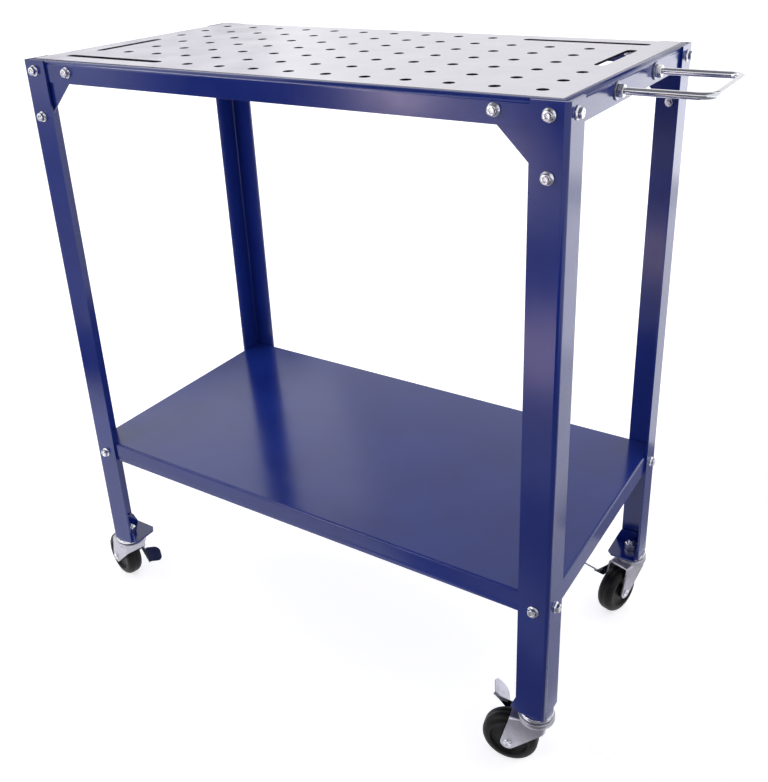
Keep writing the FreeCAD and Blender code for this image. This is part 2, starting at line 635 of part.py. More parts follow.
def build():
    nodes = {
        "table_top": table_top(),
        "rail_front": rail_along_x(-1),
        "rail_rear": rail_along_x(1),
        "rail_left": rail_along_y(-1),
        "rail_right": rail_along_y(1),
        "shelf": shelf(),
        "gusset_spacers": Part.makeCompound([spacer(sx, sy) for sx, sy in SIDES]),
        "frame_bolts": bolts(FRAME_JOINTS),
        "frame_nuts": nuts(FRAME_JOINTS),
        "shelf_bolts": bolts(SHELF_JOINTS),
        "shelf_nuts": nuts(SHELF_JOINTS),
        "handle": handle(),
        "handle_washers": handle_washers(),
        "handle_nuts": handle_nuts(),
        "caster_stems": each_corner(stem()),
        "caster_stem_nuts": each_corner(stem_nut()),
        "caster_upper_races": each_corner(upper_race()),
        "caster_ball_cages": each_corner(ball_cage()),
    }
    for corner, (sx, sy, turn, lever_turn) in CORNERS.items():
        nodes["leg_" + corner] = leg(sx, sy)
        nodes["gusset_" + corner] = gusset(sx, sy)
        nodes["foot_bracket_" + corner] = foot_bracket(sx, sy)
        caster = {
            "fork_": fork(),
            "axle_": axle(),
            "axle_sleeve_": axle_sleeve(),
            "wheel_": wheel(),
            "brake_pin_": brake_pin(),
            "brake_lever_": brake_lever(lever_turn),
        }
        for name, shape in caster.items():
            nodes[name + corner] = place(shape, sx, sy, turn)
    return nodes


os.makedirs("parts", exist_ok=True)
for name, shape in build().items():
    shape.exportStep("parts/" + name + ".step")
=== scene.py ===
import math

import bmesh
import bpy
from mathutils import Matrix, Vector


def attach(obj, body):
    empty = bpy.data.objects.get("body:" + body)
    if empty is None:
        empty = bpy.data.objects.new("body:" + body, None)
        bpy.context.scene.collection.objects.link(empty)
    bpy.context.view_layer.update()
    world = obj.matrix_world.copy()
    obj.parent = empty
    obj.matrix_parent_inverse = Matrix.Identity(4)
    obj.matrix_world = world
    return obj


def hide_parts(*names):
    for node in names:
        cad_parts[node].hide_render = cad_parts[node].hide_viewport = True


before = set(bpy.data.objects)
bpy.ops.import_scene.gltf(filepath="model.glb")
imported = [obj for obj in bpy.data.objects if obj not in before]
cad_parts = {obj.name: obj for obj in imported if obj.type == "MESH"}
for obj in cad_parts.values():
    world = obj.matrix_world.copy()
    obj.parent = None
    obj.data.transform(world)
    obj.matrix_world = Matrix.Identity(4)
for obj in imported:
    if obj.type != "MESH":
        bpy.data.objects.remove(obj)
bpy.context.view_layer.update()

# Rolling assembly table, dressed over its CAD solids. Sizes are in millimetres, and each finished piece is
# turned to metres. +Z is up, X runs along the length with the handle at +X, the front is at -Y, and the
# origin is the middle of the work surface.

MM = 0.001
X, Y, Z = Vector((1, 0, 0)), Vector((0, 1, 0)), Vector((0, 0, 1))

# ---- sizes shared with the CAD ------------------------------------------------
TABLE_L, TABLE_W, TABLE_H = 750.0, 390.0, 845.0
LEG_T, RAIL_T, SHELF_T, GUSSET_T = 3.0, 2.0, 2.0, 2.0
CASTER_H = 90.0
BOLT_IN, TOP_BOLT_DROP, SHELF_BOLT_Z = 19.5, 14.0, -589.0
GUSSET_BOLT_IN, GUSSET_BOLT_Z = 74.0, -73.0
BOLT_R, HEX_AF = 3.0, 10.0
HEAD_FLANGE_R, HEAD_H = 7.1, 6.0
NUT_FLANGE_R, NUT_H = 6.6, 5.5
STICKOUT = 2.5
HANDLE_R, HANDLE_SPAN, HANDLE_REACH, HANDLE_BEND, HANDLE_DROP = 4.0, 124.0, 96.0, 14.0, 14.0
HANDLE_WASHER_T, OUTER_WASHER_R, INNER_WASHER_R = 1.6, 10.0, 7.75
HANDLE_NUT_AF, HANDLE_NUT_H, HANDLE_STICKOUT = 13.0, 6.5, 5.0
STEM_IN, STEM_R, STEM_NUT_AF, STEM_NUT_H, STEM_STICKOUT = 18.0, 5.0, 17.0, 10.0, 4.0
STEM_HEAD_R, STEM_HEAD_T = 8.5, 4.0
BRACKET_BASE_T = 3.0
RUN_GAP = 0.3
WHEEL_R, WHEEL_W, HUB_R, TRAIL = 36.0, 25.0, 9.5, 32.4
TREAD_R, RIM_IN_R, WEB_W = 9.0, 24.0, 17.0
RACE_R, RACE_H, CUP_H = 21.5, 6.5, 4.2
CAGE_MID_R = 15.5
FORK_W, FORK_T = 34.0, 2.5
AXLE_R, AXLE_HEAD_R, AXLE_HEAD_T = 4.0, 5.5, 2.2
SLEEVE_R = 6.0
PIVOT_BACK, PIVOT_DROP, PIVOT_R, PIVOT_HEAD_R, PIVOT_HEAD_T = 20.0, 18.5, 3.0, 5.0, 2.0
LEVER_T, LEVER_GAP, LEVER_BOSS_R, LEVER_FOLD_R = 2.0, 1.3, 7.0, 1.5
TAB_TILT, TAB_BACK, TAB_RISE = 42.0, 30.0, 9.0
TAB_LOW, TAB_HIGH, TAB_LEAN, TAB_W, TAB_CORNER = 14.0, 12.0, 8.0, 22.0, 9.0

# ---- sizes that only the dressing has -----------------------------------------
M6_PITCH, M8_PITCH, M10_PITCH = 1.0, 1.25, 1.5
THREAD_DEPTH = 0.6            # of the pitch
ROD_SHOW = 2.0                # of the handle's thread beyond its outer nut
WASHER_PLAY, PIN_PLAY = 0.2, 0.08
CORNER_OVER = 0.05            # so that a hexagon's corners stay sharp when its flats are cut
BALL_R, BALL_COUNT = 1.9, 22
# width of a cut edge's bevel, the degrees from which an edge gets one, and those up to which faces shade
# as one
LEG_EDGE, RAIL_EDGE, PLATE_EDGE, FINE_EDGE = 0.4, 0.35, 0.3, 0.25
BEVEL_ANGLE, SMOOTH_ANGLE = 30.0, 32.0

# ---- places that follow -------------------------------------------------------
LEG_X, LEG_Y = TABLE_L / 2, TABLE_W / 2
RAIL_X, RAIL_Y = LEG_X - LEG_T, LEG_Y - LEG_T
HEX_CORNER = HEX_AF / math.sqrt(3) + CORNER_OVER
LEG_FOOT_Z = CASTER_H - TABLE_H
RACE_Z = LEG_FOOT_Z - RACE_H
CUP_Z = RACE_Z - RUN_GAP
PLATE_Z = CUP_Z - CUP_H
PLATE_LOW_Z = PLATE_Z - FORK_T
AXLE_Z = WHEEL_R - TABLE_H
ARM_Y = FORK_W / 2
LEVER_Y = ARM_Y + AXLE_HEAD_T + LEVER_GAP
LEVER_BEND = LEVER_T + LEVER_FOLD_R
PIVOT_Z = PLATE_LOW_Z - PIVOT_DROP
SIDES = [(sx, sy) for sx in (-1, 1) for sy in (-1, 1)]
# corner: (side along X, side along Y, direction of the trail, turn of the brake lever), the last two in
# degrees
CORNERS = {
    "FL": (-1, -1, 165.0, -145.0),
    "FR": (1, -1, 191.0, 0.0),
    "RL": (-1, 1, 203.0, 0.0),
    "RR": (1, 1, 254.0, 0.0),
}


# ---- materials ----------------------------------------------------------------
def colour(hex_code):
    """Linear colour from an sRGB hex value."""
    parts = [int(hex_code[i:i + 2], 16) / 255 for i in (1, 3, 5)]
    return [c / 12.92 if c <= 0.04045 else ((c + 0.055) / 1.055) ** 2.4 for c in parts] + [1.0]


def add(tree, kind, settings=None, **inputs):
    """Add a node. An input is given by its name, or by its number as in0, and it is a value or the output
    socket that it is linked to."""
    made = tree.nodes.new(kind)
    for key, value in (settings or {}).items():
        setattr(made, key, value)
    for key, value in inputs.items():
        socket = made.inputs[int(key[2:]) if key.startswith("in") else key.replace("_", " ")]
        if isinstance(value, bpy.types.NodeSocket):
            tree.links.new(value, socket)
        else:
            socket.default_value = value
    return made


def new_material(name):
    """A material with an empty node tree, and that tree."""
    mat = bpy.data.materials.new(name)
    mat.use_nodes = True
    mat.node_tree.nodes.clear()
    return mat, mat.node_tree


def grains(size):
    """Scale of a noise whose grains are a size in millimetres across."""
    return 1 / (size * MM)


def stops(ramp, *pairs):
    """Set a colour ramp's stops from (place, value or hex colour) pairs."""
    elements = ramp.color_ramp.elements
    while len(elements) < len(pairs):
        elements.new(1.0)
    for element, (place, value) in zip(elements, pairs):
        element.position = place
        element.color = colour(value) if isinstance(value, str) else (value, value, value, 1.0)
    return ramp


def powder_coat():
    """Navy polyester powder coat on sheet steel: smooth gloss with a fine orange peel."""
    mat, tree = new_material("navy_powder_coat")
    at = add(tree, "ShaderNodeTexCoord").outputs["Object"]
    # pools of a slightly deeper blue, a hand wide
    pools = add(tree, "ShaderNodeTexNoise", Vector=at, Scale=grains(111.1), Detail=3.0, Roughness=0.5)
    tone = stops(add(tree, "ShaderNodeValToRGB", Fac=pools.outputs["Fac"]),
                 (0.3, "#152878"), (0.7, "#1a3086"))
    # the gloss changes a little over two fingers' width, and the orange peel is 2.4 mm across
    film = add(tree, "ShaderNodeTexNoise", Vector=at, Scale=grains(33.33), Detail=6.0, Roughness=0.65)
    gloss = add(tree, "ShaderNodeMapRange", Value=film.outputs["Fac"], From_Min=0.3, From_Max=0.7,
                To_Min=0.14, To_Max=0.19)
    peel = add(tree, "ShaderNodeTexNoise", Vector=at, Scale=grains(2.381), Detail=2.0, Roughness=0.5)
    bump = add(tree, "ShaderNodeBump", Height=peel.outputs["Fac"], Strength=0.08, Distance=0.3 * MM)
    coat = add(tree, "ShaderNodeBsdfPrincipled", Base_Color=tone.outputs["Color"],
               Roughness=gloss.outputs["Result"], IOR=1.5, Normal=bump.outputs["Normal"])
    add(tree, "ShaderNodeOutputMaterial", Surface=coat.outputs[0])
    return mat


def brushed_steel():
    """Zinc-coated cold-rolled sheet: satin, drawn along its length, with faint clouding."""
    mat, tree = new_material("satin_steel_sheet")
    at = add(tree, "ShaderNodeTexCoord").outputs["Object"]
    # drawing lines run along X, a hundred times as long as wide; the real ones are 0.2 mm wide, and these
    # are 0.83 mm so that they show
    stretched = add(tree, "ShaderNodeMapping", Vector=at, Scale=(0.01, 1.0, 1.0))
    lines = add(tree, "ShaderNodeTexNoise", Vector=stretched.outputs["Vector"], Scale=grains(0.8333),
                Detail=3.0, Roughness=0.6)
    cloud = add(tree, "ShaderNodeTexNoise", Vector=at, Scale=grains(71.43), Detail=5.0, Roughness=0.6)
    tone = stops(add(tree, "ShaderNodeValToRGB", Fac=cloud.outputs["Fac"]),
                 (0.3, "#d8d5df"), (0.7, "#e9e7ee"))
    fine = add(tree, "ShaderNodeMix", {"data_type": "FLOAT"}, in0=0.4, in2=cloud.outputs["Fac"],
               in3=lines.outputs["Fac"])
    rough = add(tree, "ShaderNodeMapRange", Value=fine.outputs[0], From_Min=0.3, From_Max=0.7,
                To_Min=0.28, To_Max=0.45)
    bump = add(tree, "ShaderNodeBump", Height=lines.outputs["Fac"], Strength=0.08, Distance=0.2 * MM)
    # cut walls are dark: partly the dark scale that the laser leaves, partly painted shade in the holes,
    # slots and rims; they are the faces that stand upright
    normal = add(tree, "ShaderNodeNewGeometry").outputs["Normal"]
    upward = add(tree, "ShaderNodeSeparateXYZ", Vector=normal).outputs["Z"]
    level = add(tree, "ShaderNodeMath", {"operation": "ABSOLUTE"}, in0=upward)
    flat = add(tree, "ShaderNodeMapRange", Value=level.outputs[0], From_Min=0.35, From_Max=0.75)
    skin = add(tree, "ShaderNodeMix", {"data_type": "RGBA"}, in0=flat.outputs["Result"],
               in6=colour("#2b2a33"), in7=tone.outputs["Color"])
    steel = add(tree, "ShaderNodeBsdfPrincipled", Base_Color=skin.outputs[2], Metallic=1.0,
                Roughness=rough.outputs["Result"], Normal=bump.outputs["Normal"])
    add(tree, "ShaderNodeOutputMaterial", Surface=steel.outputs[0])
    return mat


def zinc(name, dark, light, least, most, patch):
    """Zinc plate over steel, bright, satin or dull, and a near-black one that is painted shade. Its patches
    are a size in millimetres across, and the lighter one is, the smoother it is: from the most roughness to
    the least."""
    mat, tree = new_material(name)
    at = add(tree, "ShaderNodeTexCoord").outputs["Object"]
    mottle = add(tree, "ShaderNodeTexNoise", Vector=at, Scale=grains(patch), Detail=4.0, Roughness=0.6)
    tone = stops(add(tree, "ShaderNodeValToRGB", Fac=mottle.outputs["Fac"]), (0.3, dark), (0.7, light))
    rough = add(tree, "ShaderNodeMapRange", Value=mottle.outputs["Fac"], From_Min=0.3, From_Max=0.7,
                To_Min=most, To_Max=least)
    # the steel's own grain comes through the plate; the real one is 0.05 mm, and this is 0.4 mm so that it
    # shows
    fine = add(tree, "ShaderNodeTexNoise", Vector=at, Scale=grains(0.4), Detail=2.0, Roughness=0.5)
    bump = add(tree, "ShaderNodeBump", Height=fine.outputs["Fac"], Strength=0.06, Distance=0.2 * MM)
    plate = add(tree, "ShaderNodeBsdfPrincipled", Base_Color=tone.outputs["Color"], Metallic=1.0,
                Roughness=rough.outputs["Result"], Normal=bump.outputs["Normal"])
    add(tree, "ShaderNodeOutputMaterial", Surface=plate.outputs[0])
    return mat


def chrome():
    """Polished chrome plate on bent rod: a mirror with faint finger haze."""
    mat, tree = new_material("polished_chrome")
    at = add(tree, "ShaderNodeTexCoord").outputs["Object"]
    # a finger leaves marks of its own width
    haze = add(tree, "ShaderNodeTexNoise", Vector=at, Scale=grains(16.67), Detail=4.0, Roughness=0.6)
    tone = stops(add(tree, "ShaderNodeValToRGB", Fac=haze.outputs["Fac"]),
                 (0.35, "#d9dae0"), (0.7, "#ebecf0"))
    rough = add(tree, "ShaderNodeMapRange", Value=haze.outputs["Fac"], From_Min=0.4, From_Max=0.75,
                To_Min=0.1, To_Max=0.2)
    mirror = add(tree, "ShaderNodeBsdfPrincipled", Base_Color=tone.outputs["Color"], Metallic=1.0,
                 Roughness=rough.outputs["Result"])
    add(tree, "ShaderNodeOutputMaterial", Surface=mirror.outputs[0])
    return mat


def wheel_plastic():
    """Moulded black polyolefin: dull, with grey scuffing and a fine mould grain."""
    mat, tree = new_material("black_polyolefin")
    at = add(tree, "ShaderNodeTexCoord").outputs["Object"]
    scuff = add(tree, "ShaderNodeTexNoise", Vector=at, Scale=grains(8.333), Detail=6.0, Roughness=0.7)
    tone = stops(add(tree, "ShaderNodeValToRGB", Fac=scuff.outputs["Fac"]),
                 (0.45, "#050506"), (0.8, "#100f13"))
    rough = add(tree, "ShaderNodeMapRange", Value=scuff.outputs["Fac"], From_Min=0.3, From_Max=0.7,
                To_Min=0.38, To_Max=0.55)
    # the real mould grain is 0.1 mm, and this is 0.56 mm so that it shows
    grain = add(tree, "ShaderNodeTexNoise", Vector=at, Scale=grains(0.5556), Detail=2.0, Roughness=0.5)
    bump = add(tree, "ShaderNodeBump", Height=grain.outputs["Fac"], Strength=0.1, Distance=0.2 * MM)
    skin = add(tree, "ShaderNodeBsdfPrincipled", Base_Color=tone.outputs["Color"], Specular_IOR_Level=0.22,
               Roughness=rough.outputs["Result"], Normal=bump.outputs["Normal"])
    add(tree, "ShaderNodeOutputMaterial", Surface=skin.outputs[0])
    return mat


NAVY = powder_coat()
SHEET = brushed_steel()
BRIGHT_ZINC = zinc("bright_zinc_plate", "#cdced5", "#e6e7ec", 0.17, 0.33, 4.0)
SATIN_ZINC = zinc("satin_zinc_plate", "#acabb5", "#bdbcc6", 0.3, 0.4, 8.0)
# the washers are made darker and rougher than the bright nuts on them
DULL_ZINC = zinc("dull_zinc_washer", "#85889a", "#9da0b0", 0.35, 0.5, 6.0)
PEDAL_ZINC = zinc("pedal_zinc_plate", "#a9a9b6", "#b9b9c6", 0.4, 0.5, 10.0)
# painted shade: the pedal's face that looks down is coloured near-black blue for the shade and dark
# reflection under the lever
PEDAL_PAINTED_SHADE = zinc("pedal_underside_painted_shade", "#1b1e35", "#272b45", 0.3, 0.42, 10.0)
# the balls are bare steel that mottles as the plate does
BEARING_STEEL = zinc("bearing_steel", "#8f9098", "#a9aab2", 0.1, 0.2, 2.0)
CHROME = chrome()
BLACK = wheel_plastic()


# ---- mesh builders, in millimetres --------------------------------------------
def turned(profile, steps=36, closed=True):
    """Mesh turned about Z from (radius, height) points: a ring if closed, else a solid between its poles."""
    bm = bmesh.new()
    verts = [bm.verts.new((r, 0, z)) for r, z in profile]
    following = verts[1:] + verts[:1] if closed else verts[1:]
    edges = [bm.edges.new(pair) for pair in zip(verts, following)]
    bmesh.ops.spin(bm, geom=verts + edges, cent=(0, 0, 0), axis=Z, angle=math.tau, steps=steps,
                   use_merge=True)
    bmesh.ops.remove_doubles(bm, verts=bm.verts, dist=1e-4)
    bmesh.ops.recalc_face_normals(bm, faces=bm.faces)
    return bm


def hexed(bm, across, low, high):
    """Pull what lies between two levels in to a hexagon's flats."""
    for v in bm.verts:
        if low <= v.co.z <= high:
            off_flat = math.atan2(v.co.y, v.co.x) % (math.pi / 3) - math.pi / 6
            limit = across / 2 / math.cos(off_flat)
            r = math.hypot(v.co.x, v.co.y)
            if r > limit:
                v.co.x *= limit / r
                v.co.y *= limit / r
    return bm


def thread(r, start, end, pitch):
    """Points down a thread from one level to another, root and crest in turn."""
    root = r - THREAD_DEPTH * pitch
    points = []
    for turn in range(int((start - end) / pitch)):
        z = start - turn * pitch
        points += [(root, z), (r, z - 0.4 * pitch), (r, z - 0.6 * pitch)]
    return points


def rounded(cx, cz, r, start, end, steps=6):
    """Profile points along an arc, from one direction to another in degrees."""
    turns = [math.radians(start + (end - start) * k / steps) for k in range(steps + 1)]
    return [(cx + r * math.cos(t), cz + r * math.sin(t)) for t in turns]


def edges_of(geometry):
    """Edges whose two ends are both in the geometry."""
    verts = {g for g in geometry if isinstance(g, bmesh.types.BMVert)}
    return [g for g in geometry if isinstance(g, bmesh.types.BMEdge) and verts.issuperset(g.verts)]


def pushed(bm, edges, move):
    """Extrude edges along a vector, and give the new ones."""
    out = bmesh.ops.extrude_edge_only(bm, edges=edges)["geom"]
    bmesh.ops.translate(bm, verts=[g for g in out if isinstance(g, bmesh.types.BMVert)], vec=move)
    return edges_of(out)


def swung(bm, edges, centre, axis, degrees, steps):
    """Sweep edges round an axis, as a fold or bend does, and give the last ones."""
    verts = list({v for e in edges for v in e.verts})
    out = bmesh.ops.spin(bm, geom=verts + edges, cent=centre, axis=axis, angle=math.radians(degrees),
                         steps=steps)
    return edges_of(out["geom_last"])


def gathered(copies):
    """One mesh from pairs of a mesh and its placement."""
    out = bmesh.new()
    for bm, placement in copies:
        mesh = bpy.data.meshes.new("copy")
        bm.to_mesh(mesh)
        mesh.transform(placement)
        out.from_mesh(mesh)
        bpy.data.meshes.remove(mesh)
    return out


def facing(point, axis):
    """Placement that stands Z along an axis at a point."""
    return Matrix.Translation(point) @ Vector(axis).to_track_quat("Z", "Y").to_matrix().to_4x4()


def soften(made, width):
    """Break an object's sharp edges with a narrow bevel."""
    bevel = made.modifiers.new("broken_edges", "BEVEL")
    bevel.width = width * MM
    bevel.segments = 2
    bevel.limit_method = "ANGLE"
    bevel.angle_limit = math.radians(BEVEL_ANGLE)
    bevel.harden_normals = True


def thicken(made, thickness, back):
    """Give a surface its sheet thickness, and the face behind it a material of its own."""
    made.data.materials.append(back)
    sheet = made.modifiers.new("sheet_thickness", "SOLIDIFY")
    sheet.material_offset = 1
    sheet.thickness = thickness * MM
    sheet.offset = -1.0
    sheet.use_even_offset = True


def piece(name, bm, body, mat, replaces):
    """Finish a mesh as a piece that rides on a body and stands for CAD nodes."""
    bmesh.ops.scale(bm, vec=(MM, MM, MM), verts=bm.verts)
    mesh = bpy.data.meshes.new(name)
    bm.to_mesh(mesh)
    bm.free()
    mesh.materials.append(mat)
    mesh.shade_smooth()
    mesh.set_sharp_from_angle(angle=math.radians(SMOOTH_ANGLE))
    made = bpy.data.objects.new(name, mesh)
    bpy.context.scene.collection.objects.link(made)
    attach(made, body)
    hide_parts(*replaces)
    return made


# ---- bolts and nuts -----------------------------------------------------------
def bolt(grip):
    """M6 flange bolt on its bearing face, with a dished head up and a threaded shank down."""
    end = -grip - NUT_H - STICKOUT
    head = [(0, HEAD_H - 0.6), (2.2, HEAD_H - 0.5), (2.9, HEAD_H), (4.4, HEAD_H), (4.95, HEAD_H - 0.3),
            (5.4, HEAD_H - 0.65), (HEX_CORNER, HEAD_H - 1.0), (HEX_CORNER, 2.3), (6.1, 1.7),
            (HEAD_FLANGE_R - 0.1, 1.1), (HEAD_FLANGE_R, 0.9), (HEAD_FLANGE_R, 0.2), (HEAD_FLANGE_R - 0.2, 0),
            (BOLT_R, 0)]
    shank = thread(BOLT_R, -grip, end + 0.5, M6_PITCH) + [(BOLT_R - 0.7, end), (0, end)]
    return hexed(turned(head + shank, closed=False), HEX_AF, 2.2, HEAD_H)


def nut():
    """M6 flange nut on its bearing face."""
    profile = [(BOLT_R - 0.4, 0.6), (BOLT_R + 0.3, 0), (NUT_FLANGE_R - 0.2, 0), (NUT_FLANGE_R, 0.2),
               (NUT_FLANGE_R, 0.9), (6.1, 1.4), (HEX_CORNER, 2.0), (HEX_CORNER, NUT_H - 0.9),
               (5.3, NUT_H - 0.4), (4.6, NUT_H), (BOLT_R + 0.5, NUT_H), (BOLT_R - 0.4, NUT_H - 0.7)]
    return hexed(turned(profile), HEX_AF, 1.9, NUT_H)


def corner_joints(levels, stack, with_rail):
    """(place of the head's face, axis, grip) of the bolts through the front and rear flanges of the legs,
    and of those through rail and gusset."""
    out = []
    for sx, sy in SIDES:
        for z in levels:
            out.append((Vector((sx * (LEG_X - BOLT_IN), sy * LEG_Y, z)), Y * -sy, LEG_T + stack))
        if with_rail:
            place = Vector((sx * (RAIL_X - GUSSET_BOLT_IN), sy * RAIL_Y, -TOP_BOLT_DROP))
            out.append((place, Y * -sy, stack))
    return out


def end_joints(z, stack):
    """The same through the legs' flanges at the table's two ends."""
    return [(Vector((sx * LEG_X, sy * (LEG_Y - BOLT_IN), z)), X * -sx, LEG_T + stack) for sx, sy in SIDES]


def fasteners(name, joints):
    """The bolts and the nuts of one set of joints, each hexagon turned its own way."""
    heads, ends = [], []
    for k, (place, axis, grip) in enumerate(joints):
        spin_head = Matrix.Rotation(math.radians(17 + 41 * k), 4, "Z")
        spin_nut = Matrix.Rotation(math.radians(5 + 23 * k), 4, "Z")
        heads.append((bolt(grip), facing(place, -axis) @ spin_head))
        ends.append((nut(), facing(place + axis * grip, axis) @ spin_nut))
    piece(name + "_flange_bolts", gathered(heads), "frame", BRIGHT_ZINC, [name + "_bolts"])
    piece(name + "_flange_nuts", gathered(ends), "frame", BRIGHT_ZINC, [name + "_nuts"])


fasteners("frame", corner_joints((-TOP_BOLT_DROP, GUSSET_BOLT_Z), RAIL_T + GUSSET_T, True)
          + end_joints(-TOP_BOLT_DROP, RAIL_T))
fasteners("shelf", corner_joints((SHELF_BOLT_Z,), SHELF_T, False) + end_joints(SHELF_BOLT_Z, SHELF_T))


# ---- handle -------------------------------------------------------------------
def bent_rod():
    """Chromed rod: out, across and back, with a rolled thread at both ends."""
    half, bar = HANDLE_SPAN / 2, RAIL_X + HANDLE_REACH
    outer_nut = RAIL_X + HANDLE_WASHER_T + HANDLE_NUT_H
    inner_end = RAIL_X - RAIL_T - HANDLE_WASHER_T - HANDLE_NUT_H - HANDLE_STICKOUT
    start = outer_nut + ROD_SHOW
    straight = bar - HANDLE_BEND - start
    bm = bmesh.new()
    ring = bmesh.ops.create_circle(bm, segments=32, radius=HANDLE_R)["verts"]
    bmesh.ops.rotate(bm, verts=ring, cent=(0, 0, 0), matrix=Matrix.Rotation(math.pi / 2, 3, "Y"))
    bmesh.ops.translate(bm, verts=ring, vec=(start, -half, -HANDLE_DROP))
    loop = pushed(bm, bm.edges[:], X * straight)
    loop = swung(bm, loop, (bar - HANDLE_BEND, HANDLE_BEND - half, 0), Z, 90, 14)
    loop = pushed(bm, loop, Y * (HANDLE_SPAN - 2 * HANDLE_BEND))
    loop = swung(bm, loop, (bar - HANDLE_BEND, half - HANDLE_BEND, 0), Z, 90, 14)
    pushed(bm, loop, X * -straight)
    bmesh.ops.holes_fill(bm, edges=[e for e in bm.edges if e.is_boundary])
    bmesh.ops.recalc_face_normals(bm, faces=bm.faces)
    length = start - inner_end
    stub = turned([(0, length), (HANDLE_R, length)] + thread(HANDLE_R, length - 0.8, 1.0, M8_PITCH)
                  + [(HANDLE_R - 0.9, 0), (0, 0)], closed=False)
    ends = [(stub, facing((inner_end, sy * half, -HANDLE_DROP), X)) for sy in (-1, 1)]
    return gathered([(bm, Matrix.Identity(4))] + ends)


def washer(r, bore, t):
    """Punched washer: rounded on the punch's side and sharp on the other."""
    return turned([(bore, 0.1), (bore + 0.1, 0), (r - 0.1, 0), (r, 0.1), (r, t - 0.45), (r - 0.15, t - 0.12),
                   (r - 0.5, t), (bore + 0.4, t), (bore, t - 0.3)], 48)


def plain_nut(across, height, r):
    """Hexagon nut, chamfered at both ends."""
    corner, land = across / math.sqrt(3) + CORNER_OVER, across / 2 * 0.94
    middle, slope = land + (corner - land) / 2, (corner - land) * 0.5
    profile = [(r - 0.5, 0.8), (r + 0.4, 0), (land, 0), (middle, slope / 2), (corner, slope),
               (corner, height - slope), (middle, height - slope / 2), (land, height),
               (r + 0.4, height), (r - 0.5, height - 0.8)]
    return hexed(turned(profile), across, 0, height)


def handle_hardware():
    """The washers and nuts on both sides of the rail."""
    washers, nuts = [], []
    for sy in (-1, 1):
        for x, axis, r, turn in ((RAIL_X, X, OUTER_WASHER_R, 11), (RAIL_X - RAIL_T, -X, INNER_WASHER_R, 40)):
            place = Vector((x, sy * HANDLE_SPAN / 2, -HANDLE_DROP))
            spin = Matrix.Rotation(math.radians(turn * sy), 4, "Z")
            washers.append((washer(r, HANDLE_R + WASHER_PLAY, HANDLE_WASHER_T), facing(place, axis)))
            nuts.append((plain_nut(HANDLE_NUT_AF, HANDLE_NUT_H, HANDLE_R),
                         facing(place + axis * HANDLE_WASHER_T, axis) @ spin))
    piece("handle_plain_washers", gathered(washers), "frame", DULL_ZINC, ["handle_washers"])
    piece("handle_hex_nuts", gathered(nuts), "frame", BRIGHT_ZINC, ["handle_nuts"])


piece("push_handle", bent_rod(), "frame", CHROME, ["handle"])
handle_hardware()


# ---- casters, each built about its stem with the trail along +X ---------------
def stem():
    """M10 stud, threaded through its nut and riveted over under the fork."""
    neck = PLATE_LOW_Z - RUN_GAP
    low = neck - STEM_HEAD_T
    seat = LEG_FOOT_Z + BRACKET_BASE_T
    top = seat + STEM_NUT_H + STEM_STICKOUT
    profile = [(0, top), (STEM_R - 1.2, top)] + thread(STEM_R, top - 0.6, seat + 1, M10_PITCH)
    profile += [(STEM_R, seat), (STEM_R, neck), (STEM_HEAD_R - 0.4, neck), (STEM_HEAD_R, neck - 0.4),
                (STEM_HEAD_R, low + 1.6), (STEM_HEAD_R - 0.8, low + 0.6), (STEM_HEAD_R - 2.4, low),
                (3.0, low), (2.0, low + 0.8), (0, low + 1.0)]
    return turned(profile, closed=False)


def upper_race():
    """Pressed cup over the balls, rolled at its rim."""
    low = RACE_Z
    profile = [(STEM_R, LEG_FOOT_Z), (RACE_R - 1.0, LEG_FOOT_Z)]
    profile += rounded(RACE_R - 1.0, LEG_FOOT_Z - 1.0, 1.0, 90, 0)
    profile += rounded(RACE_R - 2.5, low + 2.5, 2.5, 0, -90)
    profile += rounded(CAGE_MID_R, low + 0.6, 2.6, -14, 194) + [(STEM_R, low)]
    return turned(profile, 64)


def balls():
    """Ring of swivel balls in the groove between the races."""
    ball = bmesh.new()
    bmesh.ops.create_icosphere(ball, subdivisions=2, radius=BALL_R)
    for f in ball.faces:
        f.smooth = True
    first = Matrix.Translation((CAGE_MID_R, 0, RACE_Z))
    turns = [Matrix.Rotation(math.tau * k / BALL_COUNT, 4, "Z") for k in range(BALL_COUNT)]
    return gathered([(ball, turn @ first) for turn in turns])


def axle():
    """Tubular rivet along Z, rolled over against both arms."""
    out, shoulder = ARM_Y + AXLE_HEAD_T, ARM_Y
    half = [(0, out - 1.5), (1.5, out - 1.4), (2.1, out - 0.4)] + rounded(3.8, out - 1.7, 1.7, 110, 0)
    half += [(AXLE_HEAD_R, shoulder), (AXLE_R, shoulder)]
    return turned(half + [(r, -z) for r, z in reversed(half)], closed=False)


def brake_pin():
    """Shoulder rivet through the brake lever, domed outside."""
    head = LEVER_Y + LEVER_T + RUN_GAP
    profile = [(0, head + PIVOT_HEAD_T)] + rounded(PIVOT_HEAD_R - 1.6, head + PIVOT_HEAD_T - 1.6, 1.6, 90, 0)
    profile += [(PIVOT_HEAD_R, head), (PIVOT_R, head), (PIVOT_R, LEVER_Y - RUN_GAP),
                (PIVOT_HEAD_R, LEVER_Y - RUN_GAP), (PIVOT_HEAD_R, ARM_Y), (PIVOT_R, ARM_Y),
                (PIVOT_R, ARM_Y - FORK_T), (0, ARM_Y - FORK_T)]
    return turned(profile, closed=False)


